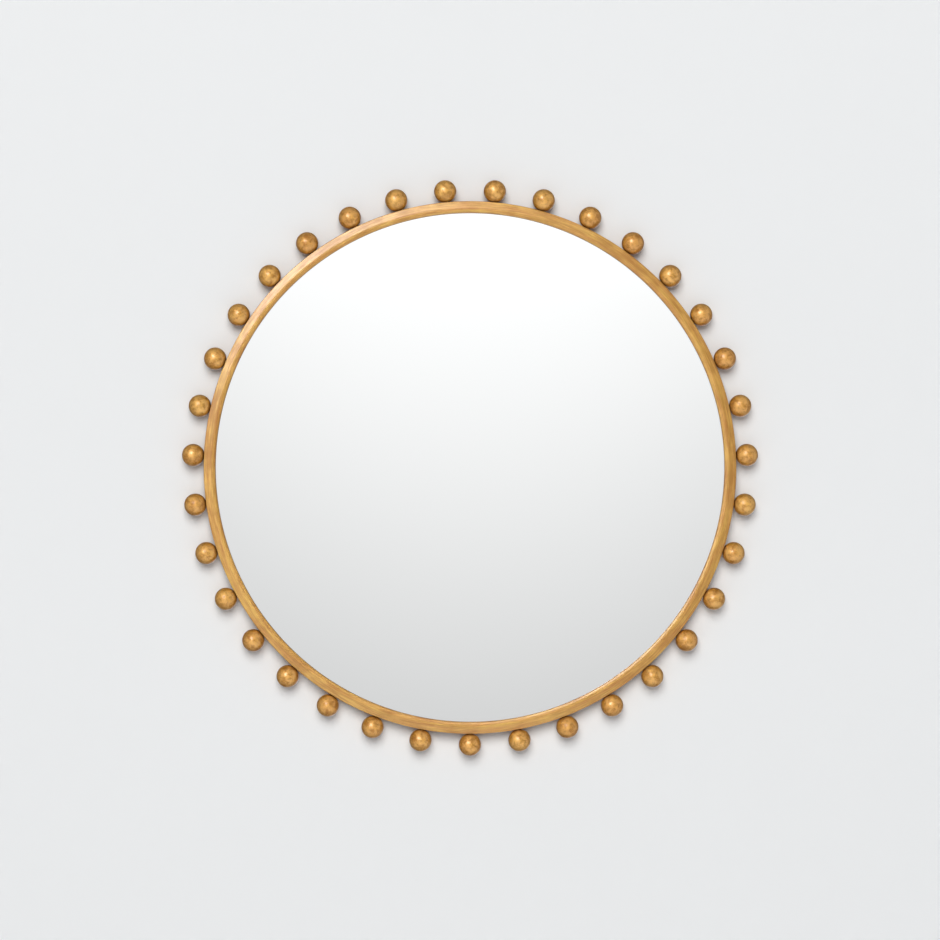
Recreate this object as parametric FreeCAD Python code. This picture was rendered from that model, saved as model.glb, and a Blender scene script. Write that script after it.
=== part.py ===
import FreeCAD
import Part
import math
import os

# A round wall mirror edged with balls: a slim gilded steel frame, a plain glass, and the hardware on its
# back.
# Millimetres. X runs to the right and Z up as the mirror hangs, and Y runs from the room into the wall.
# The origin is the centre of the frame on the wall, so a depth is measured out of the wall, along -Y.
# Angles run clockwise as seen from the room, from the lowest ball.

# Steel frame: a face ring welded on the front edge of a rolled hoop
frame_radius = 410.7        # outside of the hoop and the face ring
face_width = 18.4           # from the outside to the edge of the visible glass
face_thickness = 5.0
crown_inset = 6.0           # from the opening to the crown of the face, which is a low dome
crown_flat = 0.4            # level part of the crown
inner_fall = 1.8            # from the crown down to the edge of the opening
outer_fall = 3.6            # from the crown down to the outside
hoop_wall = 3.0
rear_edge_round = 0.5       # eased edges where the hoop meets the wall
weld_leg = 3.0              # stitch welds in the corner behind the face ring
weld_length = 20.0
weld_bulge = 0.4            # how far a bead stands out of a flat fillet

# Balls, each drawn on to the hoop by a screw from inside
ball_count = 35
ball_diameter = 34.5
ball_seat = 0.35            # how deep the saddle cut in a ball fits over the hoop
ball_wall_gap = 0.25        # between the balls and the wall
ball_screw_diameter = 3.0
ball_screw_head = 5.6
ball_screw_head_height = 2.0
ball_screw_short = 1.9      # how far the tip stays short of the ball's centre
head_to_face = 0.7          # between the screw heads and the back of the face ring
hole_beyond_tip = 1.0       # drilled depth past the tips of the screws in the balls

# Glass and what holds it, from the face ring back
gasket_thickness = 1.0
gasket_set_back = 2.0       # from the edge of the opening
gasket_edge = 1.0           # from the edge of the glass
glass_thickness = 4.0
glass_arris = 0.4           # ground edges of the glass
glass_inset = 1.0           # the glass is this much smaller than the board, all round
tape_thickness = 1.0
tape_width = 19.0
tape_spacing = 120.0
tape_count = 5
tape_end_gap = 60.0         # from the ends of the strips to the edge of the glass
board_thickness = 6.0
board_clearance = 1.2       # between the board and the nearest screw heads

# Clips that hold the board, one at every fifth ball
clip_every = 5
clip_thickness = 1.5
clip_width = 14.0
clip_foot = 22.0            # from the hoop in over the board
clip_bend = 2.0             # outside radius of the bend
clip_inner_bend = 0.5
clip_to_face = 0.5
clip_screw_diameter = 3.0
clip_screw_head = 5.6
clip_screw_head_height = 2.0
clip_screw_inset = 10.0     # from the edge of the board

# Strap hangers with a D-shaped ring each, screwed on the board
hanger_spacing = 460.0      # from one hanger to the other
hanger_height = 190.0       # of the rings' pivots above the centre of the mirror
strap_width = 15.0
strap_thickness = 1.2       # the strap is folded double round the ring's bar
strap_bend = 5.2            # from the pivot down to where the two layers meet
strap_first_screw = 10.0    # from the pivot down to the upper screw
strap_screw_pitch = 16.0
strap_end = 7.0             # from the lower screw to the end of the strap
strap_corner = 5.0
hanger_screw_diameter = 3.5
hanger_screw_head = 7.0
hanger_screw_head_height = 2.2
ring_wire = 3.0
ring_corner = 4.0           # inside the D, from the bar's line to its bow, on the wire's centre
ring_side_play = 0.5        # between the strap's sides and the ring's corners
ring_fit = 0.1              # radial clearance of the bar in the strap's eye
ring_to_board = 0.3         # between the board and the ring that leans towards it

# Screws
screw_fit = 0.05            # radial clearance of every screw in its holes
tip_margin = 1.4            # board left in front of the screws that enter it
hole_past_tip = 0.3         # drilled depth past the tips of the screws in the board
slot_width = 0.9            # cross recess in every head
slot_depth = 1.0
slot_margin = 1.2           # from the ends of the recess to the rim of the head

# Radii
opening_radius = frame_radius - face_width
hoop_inner_radius = frame_radius - hoop_wall
clip_inner_radius = hoop_inner_radius - clip_thickness
board_radius = clip_inner_radius - ball_screw_head_height - board_clearance
glass_radius = board_radius - glass_inset
clip_screw_radius = board_radius - clip_screw_inset
ball_radius = ball_diameter / 2
ball_ring_radius = frame_radius + ball_radius - ball_seat

# Depths out of the wall
ball_depth = ball_wall_gap + ball_radius
hoop_depth = ball_depth + ball_screw_head / 2 + head_to_face
frame_depth = hoop_depth + face_thickness
glass_front = hoop_depth - gasket_thickness
glass_back = glass_front - glass_thickness
board_front = glass_back - tape_thickness
board_back = board_front - board_thickness
clip_back = board_back - clip_thickness

# Lengths and angles that follow from the sizes above
ball_screw_length = hoop_wall + ball_radius - ball_seat - ball_screw_short
clip_screw_length = clip_thickness + board_thickness - tip_margin
hanger_screw_length = 2 * strap_thickness + board_thickness - tip_margin
eye_radius = ring_wire / 2 + ring_fit
eye_outside = eye_radius + strap_thickness
ring_bar = strap_width + 2 * ring_side_play
ring_bow = ring_bar / 2 + ring_corner
ring_reach = ring_corner + ring_bow
ring_lean = math.degrees(math.asin((eye_outside - ring_wire / 2 - ring_to_board) / ring_reach))
ball_step = 360.0 / ball_count

CENTRE = FreeCAD.Vector(0, 0, 0)
ALONG_X = FreeCAD.Vector(1, 0, 0)
INTO_WALL = FreeCAD.Vector(0, 1, 0)
TO_ROOM = FreeCAD.Vector(0, -1, 0)
DOWN = FreeCAD.Vector(0, 0, -1)


def below(radius, depth):
    """The point straight below the mirror's axis, at this radius and this far out of the wall."""
    return FreeCAD.Vector(0, -depth, -radius)


def outward(angle):
    """The direction away from the mirror's axis at this angle."""
    return FreeCAD.Vector(-math.sin(math.radians(angle)), 0, -math.cos(math.radians(angle)))


def turned(shape, angle):
    """A copy of a shape made below the axis, carried round to this angle."""
    copy = shape.copy()
    copy.rotate(CENTRE, INTO_WALL, angle)
    return copy


def moved(shape, x, y, z):
    """A copy of the shape, shifted."""
    copy = shape.copy()
    copy.translate(FreeCAD.Vector(x, y, z))
    return copy


def bar(radius, start, direction, length):
    """A round bar or the drill for a round hole."""
    return Part.makeCylinder(radius, length, start, direction)


def outline(corners):
    """The face inside a run of corners.

    A corner is a point, or (point, before, after): rounded off by a quarter ellipse that starts that far
    before it and ends that far after it.
    """
    corners = [c if isinstance(c, tuple) else (c, 0, 0) for c in corners]
    edges = []
    starts = []
    ends = []
    for i, (corner, before, after) in enumerate(corners):
        previous = corners[i - 1][0]
        following = corners[(i + 1) % len(corners)][0]
        starts.append(corner + (previous - corner).normalize() * before)
        ends.append(corner + (following - corner).normalize() * after)
    for i, (corner, before, after) in enumerate(corners):
        edges.append(Part.LineSegment(ends[i - 1], starts[i]).toShape())
        if before:
            curve = Part.BezierCurve()
            curve.setPoles([starts[i], corner, ends[i]])
            curve.setWeight(2, math.sqrt(0.5))
            edges.append(curve.toShape())
    return Part.Face(Part.Wire(edges))


def spun(face, sweep=360.0):
    """A half section drawn below the axis, spun about it. A part turn is centred below the axis."""
    start = face.copy()
    start.rotate(CENTRE, INTO_WALL, -sweep / 2)
    return start.revolve(CENTRE, INTO_WALL, sweep)


def screw(seat, direction, diameter, head, head_height, length):
    """A pan-head screw with a cross recess. Its head rests at seat and its shank runs along direction."""
    def at(radius, height):
        return FreeCAD.Vector(radius, 0, height)

    radius = diameter / 2
    half = outline([
        at(0, head_height),
        (at(head / 2, head_height), head / 4, head_height * 0.7),
        at(head / 2, 0),
        at(radius, 0),
        at(radius, diameter - length),
        at(0, -length),
    ])
    solid = half.revolve(CENTRE, DOWN, 360)
    reach = head / 2 - slot_margin
    for slot_x, slot_y in ((reach, slot_width / 2), (slot_width / 2, reach)):
        corner = FreeCAD.Vector(-slot_x, -slot_y, head_height - slot_depth)
        solid = solid.cut(Part.makeBox(2 * slot_x, 2 * slot_y, 2 * slot_depth, corner))
    solid.Placement = FreeCAD.Placement(seat, FreeCAD.Rotation(DOWN, direction))
    return solid


def ball_angles():
    return [i * ball_step for i in range(ball_count)]


def clip_angles():
    return ball_angles()[::clip_every]


def weld_angles():
    """Two stitches between each clip and the next, midway between balls and clear of their screws."""
    return [(i + 0.5) * ball_step for i in range(ball_count) if i % clip_every in (1, 3)]


def head_seat(inside_radius):
    """Where a flat screw head comes to rest in a round wall: its rim touches, its middle stands clear."""
    return math.sqrt(inside_radius ** 2 - (ball_screw_head / 2) ** 2)


def face_ring():
    outer_run = face_width - crown_inset - crown_flat
    return spun(outline([
        below(opening_radius, hoop_depth),
        (below(opening_radius, frame_depth), inner_fall, crown_inset),
        (below(frame_radius, frame_depth), outer_run, outer_fall),
        below(frame_radius, hoop_depth),
    ]))


def rim_hoop():
    hoop = spun(outline([
        (below(hoop_inner_radius, 0), rear_edge_round, rear_edge_round),
        below(hoop_inner_radius, hoop_depth),
        below(frame_radius, hoop_depth),
        (below(frame_radius, 0), rear_edge_round, rear_edge_round),
    ]))
    start = below(hoop_inner_radius - hoop_wall, ball_depth)
    drill = bar(ball_screw_diameter / 2 + screw_fit, start, DOWN, 3 * hoop_wall)
    return hoop.cut(Part.makeCompound([turned(drill, angle) for angle in ball_angles()]))


def corner_welds():
    toe_in = below(hoop_inner_radius - weld_leg, hoop_depth)
    toe_back = below(hoop_inner_radius, hoop_depth - weld_leg)
    middle = (toe_in + toe_back) * 0.5 + FreeCAD.Vector(0, 1, 1).normalize() * weld_bulge
    bead = Part.Face(Part.Wire([
        Part.LineSegment(toe_back, below(hoop_inner_radius, hoop_depth)).toShape(),
        Part.LineSegment(below(hoop_inner_radius, hoop_depth), toe_in).toShape(),
        Part.Arc(toe_in, middle, toe_back).toShape(),
    ]))
    sweep = math.degrees(weld_length / hoop_inner_radius)
    return [turned(spun(bead, sweep), angle) for angle in weld_angles()]


def ball():
    """The lowest ball: a saddle where it meets the hoop, and a blind hole for its screw."""
    solid = Part.makeSphere(ball_radius, below(ball_ring_radius, ball_depth))
    hoop_space = bar(frame_radius, CENTRE + INTO_WALL * ball_diameter, TO_ROOM, 4 * ball_diameter)
    tip_radius = hoop_inner_radius + ball_screw_length
    start = below(hoop_inner_radius, ball_depth)
    hole_length = tip_radius + hole_beyond_tip - hoop_inner_radius
    drill = bar(ball_screw_diameter / 2 + screw_fit, start, DOWN, hole_length)
    return solid.cut(hoop_space).cut(drill)


def ball_screws():
    screws = []
    for angle in ball_angles():
        inside = clip_inner_radius if angle in clip_angles() else hoop_inner_radius
        seat = outward(angle) * head_seat(inside) + TO_ROOM * ball_depth
        screws.append(screw(seat, outward(angle), ball_screw_diameter, ball_screw_head,
                            ball_screw_head_height, ball_screw_length))
    return screws


def glazing_gasket():
    return spun(outline([
        below(opening_radius + gasket_set_back, glass_front),
        below(opening_radius + gasket_set_back, hoop_depth),
        below(glass_radius - gasket_edge, hoop_depth),
        below(glass_radius - gasket_edge, glass_front),
    ]))


def mirror_glass():
    disc = bar(glass_radius, TO_ROOM * glass_back, TO_ROOM, glass_thickness)
    return disc.makeChamfer(glass_arris, [e for e in disc.Edges if isinstance(e.Curve, Part.Circle)])


def mounting_tape():
    strips = []
    for i in range(tape_count):
        middle = (i - (tape_count - 1) / 2) * tape_spacing
        outer_side = abs(middle) + tape_width / 2
        half_length = math.sqrt(glass_radius ** 2 - outer_side ** 2) - tape_end_gap
        corner = FreeCAD.Vector(middle - tape_width / 2, -glass_back, -half_length)
        strips.append(Part.makeBox(tape_width, tape_thickness, 2 * half_length, corner))
    return strips


def clip_screw_seats():
    return [outward(angle) * clip_screw_radius + TO_ROOM * clip_back for angle in clip_angles()]


def hanger_screw_seats():
    seats = []
    for x in hanger_places():
        for drop in (strap_first_screw, strap_first_screw + strap_screw_pitch):
            seats.append(FreeCAD.Vector(x, 2 * strap_thickness - board_back, hanger_height - drop))
    return seats


def backing_board():
    board = bar(board_radius, TO_ROOM * board_back, TO_ROOM, board_thickness)
    depth = board_thickness - tip_margin + hole_past_tip
    drills = []
    for seat in clip_screw_seats():
        start = FreeCAD.Vector(seat.x, -board_back, seat.z)
        drills.append(bar(clip_screw_diameter / 2 + screw_fit, start, TO_ROOM, depth))
    for seat in hanger_screw_seats():
        start = FreeCAD.Vector(seat.x, -board_back, seat.z)
        drills.append(bar(hanger_screw_diameter / 2 + screw_fit, start, TO_ROOM, depth))
    return board.cut(Part.makeCompound(drills))


def board_clip():
    """The lowest clip: its leg lies against the hoop under a ball's screw, its foot on the board."""
    tip_radius = hoop_inner_radius - clip_foot
    sweep = 2 * math.degrees(math.asin(clip_width / 2 / hoop_inner_radius))
    clip = spun(outline([
        below(tip_radius, clip_back),
        below(tip_radius, board_back),
        (below(clip_inner_radius, board_back), clip_inner_bend, clip_inner_bend),
        below(clip_inner_radius, hoop_depth - clip_to_face),
        below(hoop_inner_radius, hoop_depth - clip_to_face),
        (below(hoop_inner_radius, clip_back), clip_bend, clip_bend),
    ]), sweep)
    leg_drill = bar(ball_screw_diameter / 2 + screw_fit, below(tip_radius, ball_depth), DOWN, 2 * clip_foot)
    foot_start = below(clip_screw_radius, clip_back - clip_thickness)
    foot_drill = bar(clip_screw_diameter / 2 + screw_fit, foot_start, TO_ROOM, 3 * clip_thickness)
    return clip.cut(leg_drill).cut(foot_drill)


def clip_screws():
    return [
        screw(seat, TO_ROOM, clip_screw_diameter, clip_screw_head, clip_screw_head_height, clip_screw_length)
        for seat in clip_screw_seats()
    ]


def hanger_places():
    return (-hanger_spacing / 2, hanger_spacing / 2)


def hanger_strap():
    """A strap about its ring's pivot: folded double, with the fold opened into an eye for the ring's bar."""
    def at(up, off_board):
        return FreeCAD.Vector(-strap_width / 2, off_board - eye_outside, up)

    end = -(strap_first_screw + strap_screw_pitch + strap_end)
    two_layers = 2 * strap_thickness
    rise = eye_outside - two_layers
    to_pivot = math.hypot(strap_bend, rise)
    slope = math.atan2(rise, strap_bend) + math.asin(eye_outside / to_pivot)
    run = math.sqrt(to_pivot ** 2 - eye_outside ** 2)
    leaves_eye = at(run * math.cos(slope) - strap_bend, two_layers + run * math.sin(slope))
    side = Part.Face(Part.Wire([
        Part.LineSegment(at(end, 0), at(0, 0)).toShape(),
        Part.Arc(at(0, 0), at(eye_outside, eye_outside), leaves_eye).toShape(),
        Part.LineSegment(leaves_eye, at(-strap_bend, two_layers)).toShape(),
        Part.LineSegment(at(-strap_bend, two_layers), at(end, two_layers)).toShape(),
        Part.LineSegment(at(end, two_layers), at(end, 0)).toShape(),
    ]))
    folded = side.extrude(ALONG_X * strap_width)
    low = [edge for edge in folded.Edges if edge.BoundBox.ZMax < end + strap_thickness]
    corners = [edge for edge in low if edge.BoundBox.YLength > strap_thickness]
    strap = folded.makeFillet(strap_corner, corners)
    strap = strap.cut(bar(eye_radius, at(0, eye_outside) - ALONG_X, ALONG_X, strap_width + 2))
    for drop in (strap_first_screw, strap_first_screw + strap_screw_pitch):
        start = FreeCAD.Vector(0, -eye_outside - strap_thickness, -drop)
        strap = strap.cut(bar(hanger_screw_diameter / 2 + screw_fit, start, INTO_WALL, 4 * strap_thickness))
    return strap


def d_ring():
    """A D of round wire about the middle of its bar, leaning its bow towards the board."""
    def bend(start, heading, middle, sweep):
        disc = Part.Face(Part.Wire(Part.makeCircle(ring_wire / 2, start, heading)))
        return disc.revolve(middle, TO_ROOM, sweep)

    up = FreeCAD.Vector(0, 0, 1)
    bar_end = ALONG_X * (ring_bar / 2)
    straight = bar(ring_wire / 2, bar_end * -1, ALONG_X, ring_bar)
    right = bend(bar_end, ALONG_X, bar_end + up * ring_corner, 90)
    bow = bend(ALONG_X * ring_bow + up * ring_corner, up, up * ring_corner, 180)
    left = bend(ALONG_X * -ring_bow + up * ring_corner, DOWN, up * ring_corner - bar_end, 90)
    ring = straight.fuse([right, bow, left]).removeSplitter()
    ring.rotate(CENTRE, ALONG_X, ring_lean)
    return ring


def hanger_screws():
    return [
        screw(seat, TO_ROOM, hanger_screw_diameter, hanger_screw_head, hanger_screw_head_height,
              hanger_screw_length)
        for seat in hanger_screw_seats()
    ]


def save(node, shape):
    """Writes one node, which is a solid or a group of separate solids."""
    if isinstance(shape, list):
        shape = Part.makeCompound(shape)
    shape.exportStep(os.path.join("parts", node + ".step"))


def main():
    os.makedirs("parts", exist_ok=True)
    save("face_ring", face_ring())
    save("rim_hoop", rim_hoop())
    save("corner_welds", corner_welds())
    lowest_ball = ball()
    for number, angle in enumerate(ball_angles(), 1):
        save(f"ball_{number:02d}", turned(lowest_ball, angle))
    save("ball_screws", ball_screws())
    save("glazing_gasket", glazing_gasket())
    save("mirror_glass", mirror_glass())
    save("mounting_tape", mounting_tape())
    save("backing_board", backing_board())
    lowest_clip = board_clip()
    for number, angle in enumerate(clip_angles(), 1):
        save(f"board_clip_{number}", turned(lowest_clip, angle))
    save("clip_screws", clip_screws())
    strap = hanger_strap()
    ring = d_ring()
    pivot_depth = board_back - eye_outside
    for side, x in zip(("left", "right"), hanger_places()):
        save(f"hanger_strap_{side}", moved(strap, x, -pivot_depth, hanger_height))
        save(f"d_ring_{side}", moved(ring, x, -pivot_depth, hanger_height))
    save("hanger_screws", hanger_screws())


main()
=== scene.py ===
import math

import bmesh
import bpy
from mathutils import Matrix, Vector


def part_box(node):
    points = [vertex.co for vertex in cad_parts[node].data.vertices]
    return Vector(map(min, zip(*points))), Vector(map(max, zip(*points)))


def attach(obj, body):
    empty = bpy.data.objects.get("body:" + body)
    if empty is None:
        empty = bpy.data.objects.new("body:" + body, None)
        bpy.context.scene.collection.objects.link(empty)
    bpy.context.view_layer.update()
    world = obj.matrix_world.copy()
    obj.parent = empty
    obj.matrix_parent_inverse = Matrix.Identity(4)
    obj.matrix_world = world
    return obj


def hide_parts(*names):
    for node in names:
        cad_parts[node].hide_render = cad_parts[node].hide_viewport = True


# A round wall mirror edged with gilded balls. Metres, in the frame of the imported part: X right and Z up as
# the mirror hangs, Y into the wall, and the origin at the centre of the frame on the wall. A depth is
# measured from the wall towards the room, so it is -Y.

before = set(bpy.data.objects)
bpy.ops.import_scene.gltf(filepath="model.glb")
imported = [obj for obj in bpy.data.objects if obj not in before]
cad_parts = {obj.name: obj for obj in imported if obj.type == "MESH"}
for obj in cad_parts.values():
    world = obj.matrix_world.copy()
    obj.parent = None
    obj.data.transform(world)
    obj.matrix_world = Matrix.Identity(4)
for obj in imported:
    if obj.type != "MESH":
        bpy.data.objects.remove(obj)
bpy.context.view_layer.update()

# Frame
FRAME_RADIUS = 0.4107
OPENING_RADIUS = 0.3923
HOOP_WALL = 0.003
FACE_DEPTH = -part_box("face_ring")[0].y
HOOP_DEPTH = -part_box("rim_hoop")[0].y
CROWN_INSET = 0.0060              # from the opening to the crown of the domed face
CROWN_FLAT = 0.0004               # level part of the crown
INNER_FALL = 0.0018               # from the crown down to the opening
CROWN_BLEND = 0.0032              # the turn from the crown into the outer slope
FACE_SLOPE = 0.235                # of the face outside the crown
FACE_EDGE_ROUND = 0.0010
REAR_EDGE_ROUND = 0.0005

# Balls
BALL_COUNT = 35
BALL_RADIUS = 0.01724
BALL_RING_RADIUS = 0.4276
BALL_DEPTH = 0.0175
BALL_SEGMENTS = 72
BALL_RINGS = 48

# Glass and board
GLASS_RADIUS = 0.402
GLASS_FRONT = -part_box("mirror_glass")[0].y
GLASS_BACK = -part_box("mirror_glass")[1].y
GLASS_ARRIS = 0.0004              # ground edges
GASKET_INNER = 0.3943
GASKET_OUTER = 0.401
BOARD_RADIUS = 0.403
BOARD_FRONT = -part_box("backing_board")[0].y
BOARD_BACK = -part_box("backing_board")[1].y
BOARD_ARRIS = 0.0003

# Fixings
CLIP_COUNT = 7
PLATE_EDGE_ROUND = 0.00018
TAPE_EDGE_ROUND = 0.0001
SHARP_EDGE = math.radians(40)     # edges turned more than this are eased
FLAT_JOIN = math.radians(0.5)     # faces turned less than this become one before that

# Mesh fineness
RING_STEPS = 720
ARC_STEPS = 10
CROWN_STEPS = 16
BLEND_STEPS = 8
SLOPE_STEPS = 6
REAR_EDGE_STEPS = 4
MERGE_DISTANCE = 0.000001


# ---------------------------------------------------------------- shader nodes

class Shader:
    """A material's nodes, added one call at a time."""

    def __init__(self, name):
        self.material = bpy.data.materials.new(name)
        self.material.use_nodes = True
        self.tree = self.material.node_tree
        self.tree.nodes.clear()
        self.surface = self.tree.nodes.new("ShaderNodeBsdfPrincipled")
        output = self.tree.nodes.new("ShaderNodeOutputMaterial")
        self.tree.links.new(self.surface.outputs["BSDF"], output.inputs["Surface"])

    def put(self, socket, value):
        """Sets a socket to a number or colour, or links it to another node's output."""
        if isinstance(value, bpy.types.NodeSocket):
            self.tree.links.new(value, socket)
        else:
            socket.default_value = value

    def principled(self, **values):
        """Sets the surface's own sockets, such as base_color or roughness."""
        for name, value in values.items():
            self.put(self.surface.inputs[name.replace("_", " ").title().replace("Ior", "IOR")], value)

    def object_position(self):
        return self.tree.nodes.new("ShaderNodeTexCoord").outputs["Object"]

    def mix(self, a, share_a, b, share_b):
        """A weighted sum of two values."""
        return self.maths("ADD", self.maths("MULTIPLY", a, share_a), self.maths("MULTIPLY", b, share_b))

    def maths(self, operation, a, b=0.0, c=0.0):
        node = self.tree.nodes.new("ShaderNodeMath")
        node.operation = operation
        for socket, value in zip(node.inputs, (a, b, c)):
            self.put(socket, value)
        return node.outputs[0]

    def split(self, vector):
        node = self.tree.nodes.new("ShaderNodeSeparateXYZ")
        self.put(node.inputs[0], vector)
        return node.outputs

    def join(self, x, y, z):
        node = self.tree.nodes.new("ShaderNodeCombineXYZ")
        for socket, value in zip(node.inputs, (x, y, z)):
            self.put(socket, value)
        return node.outputs[0]

    def clouds(self, vector, scale, detail=3.0, roughness=0.55, distortion=0.0):
        """Fractal noise from 0 to 1."""
        node = self.tree.nodes.new("ShaderNodeTexNoise")
        self.put(node.inputs["Vector"], vector)
        self.put(node.inputs["Scale"], scale)
        self.put(node.inputs["Detail"], detail)
        self.put(node.inputs["Roughness"], roughness)
        self.put(node.inputs["Distortion"], distortion)
        return node.outputs["Fac"]

    def ramp(self, value, low, high, to_low=0.0, to_high=1.0):
        """Spreads value from low..high over to_low..to_high, smoothly and no further."""
        node = self.tree.nodes.new("ShaderNodeMapRange")
        node.interpolation_type = "SMOOTHSTEP"
        ends = {"From Min": low, "From Max": high, "To Min": to_low, "To Max": to_high}
        for name, number in ends.items():
            self.put(node.inputs[name], number)
        self.put(node.inputs["Value"], value)
        return node.outputs[0]

    def blend(self, factor, a, b):
        """Mixes two colours."""
        node = self.tree.nodes.new("ShaderNodeMix")
        node.data_type = "RGBA"
        self.put(node.inputs[0], factor)
        self.put(node.inputs[6], a)
        self.put(node.inputs[7], b)
        return node.outputs[2]

    def bump(self, height, distance, strength=1.0):
        node = self.tree.nodes.new("ShaderNodeBump")
        self.put(node.inputs["Strength"], strength)
        self.put(node.inputs["Distance"], distance)
        self.put(node.inputs["Height"], height)
        self.tree.links.new(node.outputs[0], self.surface.inputs["Normal"])


def colour(red, green, blue):
    """A colour as seen on a screen, from 0 to 255, in the linear form that sockets take."""
    def linear(value):
        value /= 255
        return value / 12.92 if value <= 0.04045 else ((value + 0.055) / 1.055) ** 2.4
    return (linear(red), linear(green), linear(blue), 1.0)


# ---------------------------------------------------------------- finishes

LEAF_BRIGHT = colour(244, 194, 82)
LEAF_WARM = colour(234, 172, 62)
FRAME_BRIGHT = colour(225, 184, 70)
FRAME_WARM = colour(209, 152, 48)
GROUND_BROWN = colour(154, 84, 20)
# Dark brown painted in as shade where the leaf meets the glass, the hoop and the wall
PAINTED_SHADE_BROWN = colour(92, 48, 18)
VARNISH = {"coat_roughness": 0.30, "coat_tint": (1.0, 0.95, 0.84, 1.0)}
FRAME_VARNISH_IOR = 1.96
BALL_VARNISH_IOR = 1.95
EDGE_TINT = (0.12, 0.06, 0.03, 1.0)
SILVERING = (0.96, 0.97, 0.97, 1.0)
WELD_RIPPLE = 0.0011              # from one ripple of a bead to the next


def place_in_the_round(s, position):
    """A point's radius from the mirror's axis, its direction from there in two parts, and its Y."""
    x, y, z = s.split(position)
    radius = s.maths("SQRT", s.maths("ADD", s.maths("MULTIPLY", x, x), s.maths("MULTIPLY", z, z)))
    return radius, s.maths("DIVIDE", x, radius), s.maths("DIVIDE", z, radius), y


def rubbed_leaf_frame():
    """Gold leaf on the frame, brushed round and rubbed through to its brown ground in fine lines."""
    s = Shader("rubbed_leaf_frame")
    position = s.object_position()
    radius, round_x, round_z, y = place_in_the_round(s, position)
    across = s.maths("SUBTRACT", radius, y)

    def lines(length, width, detail):
        """Streaks that run round the frame, length and width in metres."""
        turns = FRAME_RADIUS / length
        streak = s.join(s.maths("MULTIPLY", round_x, turns), s.maths("MULTIPLY", round_z, turns),
                        s.maths("DIVIDE", across, width))
        return s.clouds(streak, 1.0, detail, 0.6)

    fine_lines = lines(0.030, 0.0011, 3.0)
    broad_lines = lines(0.055, 0.0040, 4.0)
    patches = s.clouds(position, 26.0, 5.0, 0.62)
    worn = s.ramp(s.mix(fine_lines, 0.6, patches, 0.4), 0.33, 0.64)
    leaf = s.blend(s.ramp(broad_lines, 0.3, 0.7), FRAME_WARM, FRAME_BRIGHT)
    worn_leaf = s.blend(s.maths("MULTIPLY", worn, 0.55), leaf, GROUND_BROWN)
    # Painted shade: the leaf is darkened along the opening's edge and towards the wall behind, where shade
    # falls
    opening_edge_shade = s.ramp(radius, OPENING_RADIUS, OPENING_RADIUS + 0.0014, 0.35, 0.0)
    wall_side_shade = s.ramp(y, -0.020, -0.004, 0.0, 0.85)
    painted_shade = s.maths("MAXIMUM", opening_edge_shade, wall_side_shade)
    s.principled(base_color=s.blend(painted_shade, worn_leaf, PAINTED_SHADE_BROWN), specular_tint=EDGE_TINT,
                 metallic=s.ramp(worn, 0.0, 1.0, 0.84, 0.74), roughness=s.ramp(worn, 0.0, 1.0, 0.58, 0.66),
                 coat_weight=s.ramp(worn, 0.0, 1.0, 1.0, 0.65), coat_ior=FRAME_VARNISH_IOR, **VARNISH)
    s.bump(fine_lines, 0.00010, 0.5)
    return s.material


def rubbed_leaf_ball():
    """Gold leaf on the balls, mottled where it is rubbed, with painted shade where each meets the frame and
    towards the wall.
    """
    s = Shader("rubbed_leaf_ball")
    position = s.object_position()
    radius, _, _, y = place_in_the_round(s, position)
    patches = s.clouds(position, 120.0, 5.0, 0.6, 0.4)
    tone = s.clouds(position, 14.0, 2.0, 0.5)
    specks = s.clouds(position, 420.0, 4.0, 0.6)
    mottle = s.ramp(s.mix(patches, 0.8, specks, 0.2), 0.38, 0.68)
    worn = s.maths("MINIMUM", s.maths("ADD", mottle, s.ramp(tone, 0.35, 0.62, 0.08, 0.0)), 1.0)
    leaf = s.blend(s.ramp(tone, 0.25, 0.75, 0.15, 0.85), LEAF_WARM, LEAF_BRIGHT)
    worn_leaf = s.blend(s.maths("MULTIPLY", worn, 0.70), leaf, GROUND_BROWN)
    # Painted shade: the leaf is darkened where the ball sits on the hoop and towards the wall behind
    seat_shade = s.ramp(radius, FRAME_RADIUS, FRAME_RADIUS + 0.0050, 0.80, 0.0)
    wall_side_shade = s.ramp(y, -0.012, -0.002, 0.0, 0.80)
    painted_shade = s.maths("MAXIMUM", seat_shade, wall_side_shade)
    s.principled(base_color=s.blend(painted_shade, worn_leaf, PAINTED_SHADE_BROWN), specular_tint=EDGE_TINT,
                 metallic=s.ramp(worn, 0.0, 1.0, 0.88, 0.78), roughness=s.ramp(worn, 0.0, 1.0, 0.58, 0.66),
                 coat_weight=s.ramp(worn, 0.0, 1.0, 1.0, 0.40), coat_ior=BALL_VARNISH_IOR, **VARNISH)
    s.bump(patches, 0.00025, 0.5)
    return s.material


def silvered_glass():
    """Clear glass silvered behind, with the faintest uneven haze."""
    s = Shader("silvered_glass")
    haze = s.clouds(s.object_position(), 6.0, 4.0, 0.5)
    s.principled(base_color=SILVERING, metallic=1.0, roughness=s.ramp(haze, 0.3, 0.7, 0.0, 0.012))
    return s.material


def closed_foam(name, tint, pores, roughness):
    """Foam strip: a pale or dark skin with small closed pores."""
    s = Shader(name)
    position = s.object_position()
    cells = s.clouds(position, pores, 2.0, 0.7)
    stain = s.clouds(position, 14.0, 3.0, 0.6)
    shade = s.maths("MULTIPLY", s.ramp(cells, 0.48, 0.70), 0.45)
    shade = s.maths("ADD", shade, s.ramp(stain, 0.45, 0.75, 0.0, 0.20))
    dark = tuple(0.45 * v for v in tint[:3]) + (1.0,)
    s.principled(base_color=s.blend(shade, tint, dark), roughness=roughness, specular_ior_level=0.25)
    s.bump(cells, 0.0004, 0.6)
    return s.material


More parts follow.
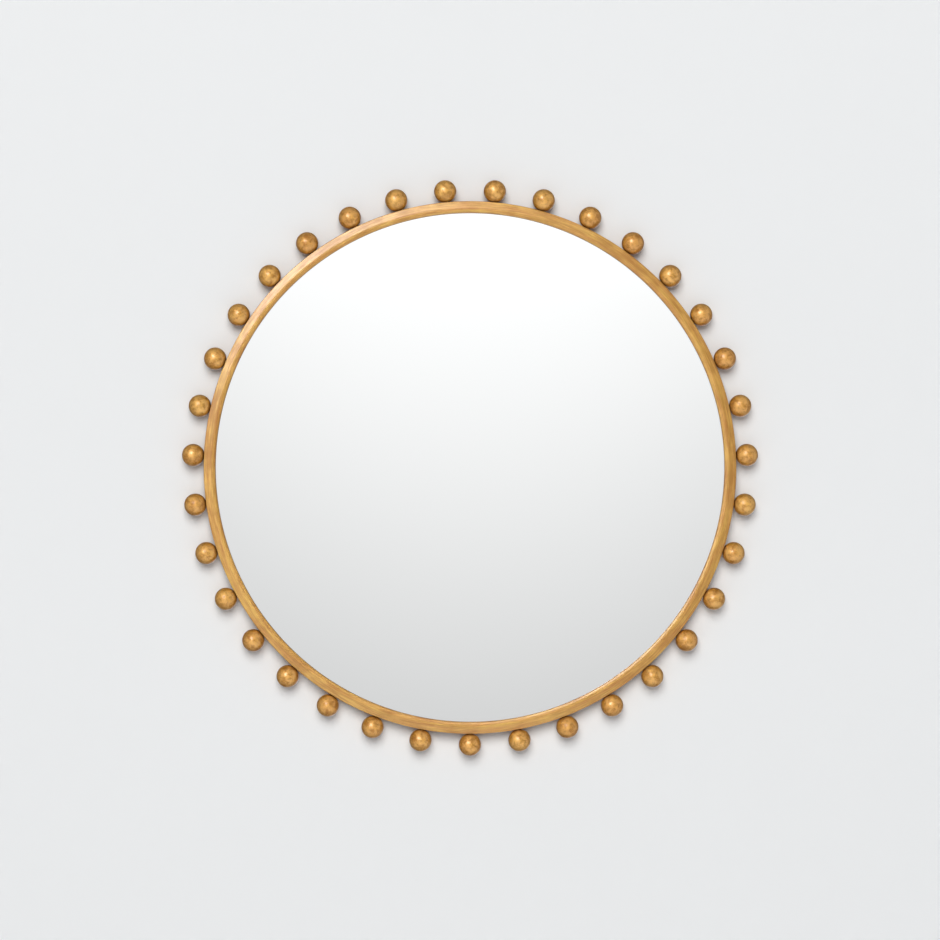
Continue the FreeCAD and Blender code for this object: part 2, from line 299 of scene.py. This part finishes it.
def raw_fibreboard():
    """Pressed wood fibre: a brown felt of short pale and dark fibres, with a slow drift of tone."""
    s = Shader("raw_fibreboard")
    position = s.object_position()
    x, _, z = s.split(position)
    upright_place = s.join(s.maths("MULTIPLY", x, 900.0), 0.0, s.maths("MULTIPLY", z, 320.0))
    level_place = s.join(s.maths("MULTIPLY", x, 300.0), 0.0, s.maths("MULTIPLY", z, 850.0))
    fibres = s.clouds(upright_place, 1.0, 4.0, 0.7, 1.2)
    crossed = s.clouds(level_place, 1.0, 4.0, 0.7, 1.4)
    felt = s.maths("MULTIPLY", s.maths("ADD", fibres, crossed), 0.5)
    drift = s.clouds(position, 5.0, 4.0, 0.55, 0.5)
    tone = s.blend(s.ramp(felt, 0.36, 0.64), colour(118, 84, 52), colour(186, 150, 108))
    tone = s.blend(s.ramp(drift, 0.35, 0.75, 0.0, 0.35), tone, colour(128, 92, 58))
    flecks = s.clouds(position, 260.0, 3.0, 0.65)
    tone = s.blend(s.ramp(flecks, 0.64, 0.72, 0.0, 0.7), tone, colour(84, 56, 34))
    s.principled(base_color=tone, roughness=s.ramp(felt, 0.3, 0.7, 0.72, 0.88), specular_ior_level=0.3)
    s.bump(felt, 0.0003, 0.5)
    return s.material


def zinc_plate(name, drawn, dullness):
    """Zinc plating, bluish and yellowish in turn, with fine lines drawn along X or Z and duller stains."""
    s = Shader(name)
    position = s.object_position()
    x, y, z = s.split(position)
    x_scale, z_scale = (90.0, 3200.0) if drawn == "x" else (3200.0, 90.0)
    drawn_place = s.join(s.maths("MULTIPLY", x, x_scale), s.maths("MULTIPLY", y, 3200.0),
                         s.maths("MULTIPLY", z, z_scale))
    lines = s.clouds(drawn_place, 1.0, 2.0, 0.6)
    tints = s.clouds(position, 70.0, 3.0, 0.55, 0.6)
    stains = s.clouds(position, 190.0, 5.0, 0.68)
    metal = s.blend(s.ramp(tints, 0.35, 0.65), colour(196, 202, 208), colour(206, 200, 180))
    stained = s.ramp(stains, 0.54, 0.72, 0.0, 0.65)
    roughness = s.maths("ADD", s.ramp(lines, 0.3, 0.7, dullness, dullness + 0.14),
                        s.maths("MULTIPLY", stained, 0.25))
    s.principled(base_color=s.blend(stained, metal, colour(132, 130, 124)), roughness=roughness,
                 metallic=s.ramp(stained, 0.0, 0.65, 0.85, 0.60))
    s.bump(lines, 0.00003, 0.4)
    return s.material


def coated_weld():
    """Weld beads under the frame's brown ground coat, with ripples along each bead and a few bare specks."""
    s = Shader("coated_weld")
    position = s.object_position()
    x, _, z = s.split(position)
    turn = s.maths("ARCTAN2", x, z)
    wobble = s.clouds(position, 400.0, 2.0, 0.5)
    even = s.maths("MULTIPLY", turn, 2 * math.pi * FRAME_RADIUS / WELD_RIPPLE)
    ripple = s.maths("SINE", s.maths("ADD", even, s.maths("MULTIPLY", wobble, 3.0)))
    brown = s.blend(s.ramp(ripple, -1.0, 1.0), colour(64, 42, 24), colour(112, 78, 44))
    bare = s.ramp(s.clouds(position, 900.0, 3.0, 0.6), 0.66, 0.72)
    s.principled(base_color=s.blend(bare, brown, colour(170, 165, 155)), metallic=bare,
                 roughness=s.ramp(wobble, 0.3, 0.7, 0.38, 0.60))
    s.bump(ripple, 0.00020, 0.8)
    return s.material


# ---------------------------------------------------------------- pieces

def new_piece(name, bm, finish, body, replaced=(), sharp_angle=35.0):
    """Makes a finished mesh into a piece that rides on a body in place of the nodes it replaces."""
    mesh = bpy.data.meshes.new(name)
    bm.to_mesh(mesh)
    bm.free()
    mesh.polygons.foreach_set("use_smooth", [True] * len(mesh.polygons))
    mesh.set_sharp_from_angle(angle=math.radians(sharp_angle))
    mesh.materials.append(finish)
    piece = bpy.data.objects.new(name, mesh)
    bpy.context.scene.collection.objects.link(piece)
    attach(piece, body)
    if replaced:
        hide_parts(*replaced)
    return piece


def quarter(centre, toward_start, toward_end, steps=ARC_STEPS):
    """Points along a quarter ellipse, from centre + toward_start to centre + toward_end."""
    angles = [math.pi / 2 * i / steps for i in range(steps + 1)]
    return [centre + toward_start * math.cos(a) + toward_end * math.sin(a) for a in angles]


def below(radius, depth):
    """The point straight below the mirror's axis at a radius from it and a depth in front of the wall."""
    return Vector((0, -depth, -radius))


def spun_ring(section, steps=RING_STEPS):
    """Spins a closed section, drawn below the mirror's axis, into a ring."""
    bm = bmesh.new()
    verts = [bm.verts.new(point) for point in section]
    edges = [bm.edges.new((verts[i - 1], verts[i])) for i in range(len(verts))]
    bmesh.ops.spin(bm, geom=verts + edges, cent=(0, 0, 0), axis=(0, 1, 0), angle=2 * math.pi, steps=steps,
                   use_merge=True)
    bmesh.ops.remove_doubles(bm, verts=bm.verts, dist=MERGE_DISTANCE)
    bmesh.ops.recalc_face_normals(bm, faces=bm.faces)
    return bm


def outer_slope(crown):
    """Points from the crown out to the frame's edge: a soft turn, a straight slope and an eased edge."""
    points = []
    for i in range(BLEND_STEPS + 1):
        run = CROWN_BLEND * i / BLEND_STEPS
        points.append(below(crown + run, FACE_DEPTH - run * run * FACE_SLOPE / (2 * CROWN_BLEND)))
    tilt = math.atan(FACE_SLOPE)
    edge_start = FRAME_RADIUS - FACE_EDGE_ROUND * (1 - math.sin(tilt))
    straight = edge_start - crown - CROWN_BLEND
    for i in range(1, SLOPE_STEPS + 1):
        run = straight * i / SLOPE_STEPS
        points.append(below(crown + CROWN_BLEND + run, FACE_DEPTH - FACE_SLOPE * (CROWN_BLEND / 2 + run)))
    depth = FACE_DEPTH - FACE_SLOPE * (CROWN_BLEND / 2 + straight)
    middle = below(FRAME_RADIUS - FACE_EDGE_ROUND, depth - FACE_EDGE_ROUND * math.cos(tilt))
    for i in range(1, ARC_STEPS + 1):
        turn = tilt + (math.pi / 2 - tilt) * i / ARC_STEPS
        points.append(middle + below(FACE_EDGE_ROUND * math.sin(turn), FACE_EDGE_ROUND * math.cos(turn)))
    return points


def face_ring(finish):
    crown = OPENING_RADIUS + CROWN_INSET
    inner = quarter(below(crown, FACE_DEPTH - INNER_FALL), below(-CROWN_INSET, 0), below(0, INNER_FALL),
                    CROWN_STEPS)
    outer = outer_slope(crown + CROWN_FLAT)
    section = [below(OPENING_RADIUS, HOOP_DEPTH)] + inner + outer + [below(FRAME_RADIUS, HOOP_DEPTH)]
    ring = spun_ring(section)
    return new_piece("face_ring_leafed", ring, finish, "mirror", ["face_ring"])


def rim_hoop(finish):
    inner_radius = FRAME_RADIUS - HOOP_WALL
    inner = quarter(below(inner_radius + REAR_EDGE_ROUND, REAR_EDGE_ROUND), below(-REAR_EDGE_ROUND, 0),
                    below(0, -REAR_EDGE_ROUND), REAR_EDGE_STEPS)
    outer = quarter(below(FRAME_RADIUS - REAR_EDGE_ROUND, REAR_EDGE_ROUND), below(0, -REAR_EDGE_ROUND),
                    below(REAR_EDGE_ROUND, 0), REAR_EDGE_STEPS)
    section = [below(inner_radius, HOOP_DEPTH)] + inner + outer + [below(FRAME_RADIUS, HOOP_DEPTH)]
    return new_piece("rim_hoop_leafed", spun_ring(section), finish, "mirror", ["rim_hoop"])


def gilded_ball(number, finish):
    """One ball, counted from the lowest, with a saddle where it sits on the hoop."""
    angle = 2 * math.pi * (number - 1) / BALL_COUNT
    bm = bmesh.new()
    bmesh.ops.create_uvsphere(bm, u_segments=BALL_SEGMENTS, v_segments=BALL_RINGS, radius=BALL_RADIUS)
    place = Matrix.Rotation(angle, 4, "Y") @ Matrix.Translation(below(BALL_RING_RADIUS, BALL_DEPTH))
    bmesh.ops.transform(bm, matrix=place, verts=bm.verts)
    for vert in bm.verts:
        radius = math.hypot(vert.co.x, vert.co.z)
        if radius < FRAME_RADIUS:
            vert.co.x *= FRAME_RADIUS / radius
            vert.co.z *= FRAME_RADIUS / radius
    name = f"gilded_ball_{number:02d}"
    return new_piece(name, bm, finish, "mirror", [f"ball_{number:02d}"], 80.0)


def disc(radius, front, back, arris):
    """A round plate square to the mirror's axis, with eased edges."""
    bm = bmesh.new()
    bmesh.ops.create_circle(bm, cap_ends=True, segments=RING_STEPS, radius=radius)
    upright = Matrix.Translation((0, -front, 0)) @ Matrix.Rotation(math.pi / 2, 4, "X")
    bmesh.ops.transform(bm, matrix=upright, verts=bm.verts)
    grown = bmesh.ops.extrude_face_region(bm, geom=bm.faces[:])
    moved = [g for g in grown["geom"] if isinstance(g, bmesh.types.BMVert)]
    bmesh.ops.translate(bm, vec=(0, front - back, 0), verts=moved)
    rims = [e for e in bm.edges if len(e.link_faces) == 2 and max(len(f.verts) for f in e.link_faces) > 4]
    bmesh.ops.bevel(bm, geom=rims, offset=arris, affect="EDGES", segments=2, profile=0.5, material=-1)
    bmesh.ops.recalc_face_normals(bm, faces=bm.faces)
    return bm


def flat_ring(inner, outer, front, back):
    return spun_ring([below(inner, front), below(outer, front), below(outer, back), below(inner, back)])


def rounded_copy(name, node, finish, body="mirror", edge=0.0):
    """A smooth-shaded copy of a node, with its sharp edges eased where edge is more than nothing."""
    bm = bmesh.new()
    bm.from_mesh(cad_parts[node].data)
    bmesh.ops.remove_doubles(bm, verts=bm.verts, dist=2 * MERGE_DISTANCE)
    if edge:
        bmesh.ops.dissolve_limit(bm, angle_limit=FLAT_JOIN, verts=bm.verts, edges=bm.edges)
        sharp = [e for e in bm.edges if len(e.link_faces) == 2 and e.calc_face_angle(0.0) > SHARP_EDGE]
        bmesh.ops.bevel(bm, geom=sharp, offset=edge, affect="EDGES", segments=2, profile=0.5, material=-1,
                        clamp_overlap=True)
    bmesh.ops.recalc_face_normals(bm, faces=bm.faces)
    return new_piece(name, bm, finish, body, [node])


def hardware():
    """The fixings behind the frame and on the back."""
    weld = coated_weld()
    tape = closed_foam("mounting_foam", colour(222, 218, 206), 900.0, 0.75)
    plate = zinc_plate("zinc_plate", "z", 0.30)
    wire = zinc_plate("zinc_wire", "x", 0.20)
    screw = zinc_plate("zinc_screw", "x", 0.34)
    rounded_copy("weld_beads", "corner_welds", weld)
    rounded_copy("foam_tape", "mounting_tape", tape, edge=TAPE_EDGE_ROUND)
    for number in range(1, CLIP_COUNT + 1):
        rounded_copy(f"bent_clip_{number}", f"board_clip_{number}", plate,
                     edge=PLATE_EDGE_ROUND)
    for side in ("left", "right"):
        rounded_copy(f"folded_strap_{side}", f"hanger_strap_{side}", plate,
                     edge=PLATE_EDGE_ROUND)
        rounded_copy(f"wire_ring_{side}", f"d_ring_{side}", wire, f"{side}_ring")
    for kind in ("ball", "clip", "hanger"):
        rounded_copy(f"cross_head_{kind}_screws", f"{kind}_screws", screw)


def glazing():
    """The glass, the strip it rests on in front and the board behind it."""
    pane = disc(GLASS_RADIUS, GLASS_FRONT, GLASS_BACK, GLASS_ARRIS)
    strip = flat_ring(GASKET_INNER, GASKET_OUTER, HOOP_DEPTH, GLASS_FRONT)
    board = disc(BOARD_RADIUS, BOARD_FRONT, BOARD_BACK, BOARD_ARRIS)
    foam = closed_foam("gasket_foam", colour(46, 46, 46), 1400.0, 0.85)
    new_piece("silvered_pane", pane, silvered_glass(), "mirror", ["mirror_glass"], 10.0)
    new_piece("gasket_strip", strip, foam, "mirror", ["glazing_gasket"])
    new_piece("fibreboard_back", board, raw_fibreboard(), "mirror", ["backing_board"])


def make_object():
    leaf = rubbed_leaf_frame()
    ball_leaf = rubbed_leaf_ball()
    face_ring(leaf)
    rim_hoop(leaf)
    for number in range(1, BALL_COUNT + 1):
        gilded_ball(number, ball_leaf)
    glazing()
    hardware()


# ---------------------------------------------------------------- stage, light and camera

IMAGE_SIZE = 940                  # pixels each way
PIXEL = 0.001541                  # metres across the frame's face
CAMERA_DISTANCE = 6.0             # from the wall
CAMERA_DROP = 0.0039              # below the mirror's centre
WALL_COLOUR = colour(238, 238, 238)
FLOOR_COLOUR = colour(205, 205, 205)
WALL_SIZE = 14.0
FLOOR_HEIGHT = -1.5
BACKDROP_LEVEL = 0.86             # what the camera sees past the wall and floor
WALL_GAP = 0.0002                 # behind the mirror
KEY_FROM = Vector((-0.06, -1.0, 0.49))
KEY_DISTANCE = 12.0
KEY_SIZE = 8.2
KEY_POWER = 1130.0
KEY_COLOUR = (1.0, 0.986, 0.958)
FILL_LEVEL = 0.19
FILL_COLOUR = (0.84, 1.0, 1.20)
REAR_FROM = Vector((0.10, 1.0, 0.18))
REAR_STRENGTH = 2.2
REAR_SPREAD = 0.3

# What reflections see of the room: a level all round, and soft patches of more or less light on it. Each has
# its direction, the angles from there at which it starts to fade and has faded, and its level.
ROOM_LEVEL = 0.48
FRONT_GLOW = (Vector((0, -1, 0)), 0.4, 1.8, 0.34)
TALL_LAMP = (Vector((-0.35, -1.0, 0.43)), 0.05, 0.31, 7.4)
RIGHT_GLOW = (Vector((0.9, -0.3, -0.3)), 0.2, 1.2, 0.26)
LOW_GLOW = (Vector((0, -0.75, -0.66)), 0.1, 1.0, 0.30)
RIGHT_GAP = (Vector((0.57, -0.80, -0.12)), 0.10, 0.70, -0.48)
BEHIND_LEVEL = 0.45               # share of all these that is left behind the mirror
REAR_LAMP = (Vector((0.25, 1.0, -0.35)), 0.05, 0.50, 1.1)

# What the glass sees, almost straight in front: brighter with height, darker to both sides
GLASS_VIEW = (Vector((0, -1, 0)), 0.080, 0.16)
GLASS_MIDDLE = 0.905
GLASS_RISE = 3.35
GLASS_SIDES = -18.0
GLASS_DARKEST = 0.6
GLASS_BRIGHTEST = 1.12


def camera():
    """Straight in front and a little below the mirror's centre, as in the photograph."""
    data = bpy.data.cameras.new("photo_camera")
    width = IMAGE_SIZE * PIXEL
    data.angle = 2 * math.atan(width / 2 / (CAMERA_DISTANCE - FACE_DEPTH))
    data.clip_end = 60
    eye = bpy.data.objects.new("photo_camera", data)
    eye.location = (0, -CAMERA_DISTANCE, -CAMERA_DROP)
    eye.rotation_euler = (math.pi / 2, 0, 0)
    bpy.context.scene.collection.objects.link(eye)
    bpy.context.scene.camera = eye


def stage_plane(name, corners, material):
    bm = bmesh.new()
    bm.faces.new([bm.verts.new(corner) for corner in corners])
    mesh = bpy.data.meshes.new(name)
    bm.to_mesh(mesh)
    bm.free()
    mesh.materials.append(material)
    plane = bpy.data.objects.new(name, mesh)
    bpy.context.scene.collection.objects.link(plane)
    return plane


def painted_wall():
    """Pale wall paint that shows from the room's side only."""
    s = Shader("painted_wall")
    s.principled(base_color=WALL_COLOUR, roughness=0.9, specular_ior_level=0.0)
    through = s.tree.nodes.new("ShaderNodeBsdfTransparent")
    choose = s.tree.nodes.new("ShaderNodeMixShader")
    side = s.tree.nodes.new("ShaderNodeNewGeometry")
    output = next(n for n in s.tree.nodes if n.type == "OUTPUT_MATERIAL")
    s.tree.links.new(side.outputs["Backfacing"], choose.inputs[0])
    s.tree.links.new(s.surface.outputs[0], choose.inputs[1])
    s.tree.links.new(through.outputs[0], choose.inputs[2])
    s.tree.links.new(choose.outputs[0], output.inputs["Surface"])
    return s.material


def painted_floor():
    s = Shader("painted_floor")
    s.principled(base_color=FLOOR_COLOUR, roughness=0.9, specular_ior_level=0.0)
    return s.material


def stage():
    """A wall behind the mirror and a floor far below it. Neither shows in any reflection."""
    half = WALL_SIZE / 2
    wall_corners = [(-half, WALL_GAP, FLOOR_HEIGHT), (half, WALL_GAP, FLOOR_HEIGHT), (half, WALL_GAP, half),
                    (-half, WALL_GAP, half)]
    floor_corners = [(-half, -half, FLOOR_HEIGHT), (half, -half, FLOOR_HEIGHT), (half, half, FLOOR_HEIGHT),
                     (-half, half, FLOOR_HEIGHT)]
    wall = stage_plane("wall", wall_corners, painted_wall())
    wall.visible_shadow = False
    wall.visible_glossy = False
    floor = stage_plane("floor", floor_corners, painted_floor())
    floor.visible_glossy = False


def room_light():
    """Soft light from all round. Reflections see a pale room instead, with one large soft lamp up on the
    left and a dim gap on the right. The camera sees a plain pale ground past the wall and floor."""
    world = bpy.data.worlds.new("pale_room")
    bpy.context.scene.world = world
    world.use_nodes = True
    tree = world.node_tree
    tree.nodes.clear()

    def node(kind, *values, **settings):
        made = tree.nodes.new("ShaderNode" + kind)
        for name, value in settings.items():
            setattr(made, name, value)
        for socket, value in zip(made.inputs, values):
            if isinstance(value, bpy.types.NodeSocket):
                tree.links.new(value, socket)
            elif value is not None:
                socket.default_value = value
        return made

    def maths(operation, *values):
        return node("Math", *values, operation=operation).outputs[0]

    def glow(direction, near, far):
        """1 within the angle near of a direction, falling to 0 at the angle far."""
        facing = node("VectorMath", sight, direction.normalized(), operation="DOT_PRODUCT").outputs["Value"]
        spread = node("MapRange", facing, math.cos(far), math.cos(near), 0.0, 1.0,
                      interpolation_type="SMOOTHSTEP")
        return spread.outputs[0]

    def lit(level_before, patch):
        direction, near, far, level = patch
        return maths("MULTIPLY_ADD", glow(direction, near, far), level, level_before)

    sight = node("TexCoord").outputs["Generated"]
    x, y, z = node("SeparateXYZ", sight).outputs
    graded = maths("MULTIPLY_ADD", z, GLASS_RISE, GLASS_MIDDLE)
    sides = maths("MULTIPLY", maths("MULTIPLY", x, x), GLASS_SIDES)
    ahead = maths("ADD", maths("MINIMUM", maths("MAXIMUM", graded, GLASS_DARKEST), GLASS_BRIGHTEST), sides)
    around = ROOM_LEVEL
    for patch in (FRONT_GLOW, TALL_LAMP, RIGHT_GLOW, LOW_GLOW, RIGHT_GAP):
        around = lit(around, patch)
    around = maths("MULTIPLY", around, node("MapRange", y, 0.0, 0.7, 1.0, BEHIND_LEVEL).outputs[0])
    around = lit(around, REAR_LAMP)
    straight = glow(*GLASS_VIEW)
    seen = maths("ADD", maths("MULTIPLY", ahead, straight),
                 maths("MULTIPLY", around, maths("SUBTRACT", 1.0, straight)))
    path = node("LightPath").outputs
    reflected = maths("ADD", path["Is Glossy Ray"], path["Is Transmission Ray"])
    shown = maths("MULTIPLY_ADD", path["Is Camera Ray"], BACKDROP_LEVEL, maths("MULTIPLY", reflected, seen))
    fill = node("Background", (*FILL_COLOUR, 1), FILL_LEVEL)
    room = node("Background", (1, 1, 1, 1), shown)
    shows = maths("MINIMUM", maths("ADD", path["Is Camera Ray"], reflected), 1.0)
    light = node("MixShader", shows, fill.outputs[0], room.outputs[0])
    tree.links.new(light.outputs[0], node("OutputWorld").inputs["Surface"])


def key_light():
    """One large soft lamp high in front, for the wall's shadows."""
    data = bpy.data.lights.new("key_softbox", "AREA")
    data.shape = "DISK"
    data.size = KEY_SIZE
    data.energy = KEY_POWER
    data.color = KEY_COLOUR
    key = bpy.data.objects.new("key_softbox", data)
    key.location = KEY_FROM.normalized() * KEY_DISTANCE
    key.rotation_euler = (-key.location).to_track_quat("-Z", "Y").to_euler()
    key.visible_glossy = False
    key.visible_camera = False
    bpy.context.scene.collection.objects.link(key)


def rear_light():
    """A soft sun that reaches only the back."""
    data = bpy.data.lights.new("rear_sun", "SUN")
    data.energy = REAR_STRENGTH
    data.angle = REAR_SPREAD
    sun = bpy.data.objects.new("rear_sun", data)
    sun.rotation_euler = REAR_FROM.to_track_quat("Z", "Y").to_euler()
    sun.visible_glossy = False
    bpy.context.scene.collection.objects.link(sun)


make_object()
stage()
key_light()
rear_light()
room_light()
camera()
bpy.context.scene.view_settings.view_transform = "Standard"
bpy.context.view_layer.update()
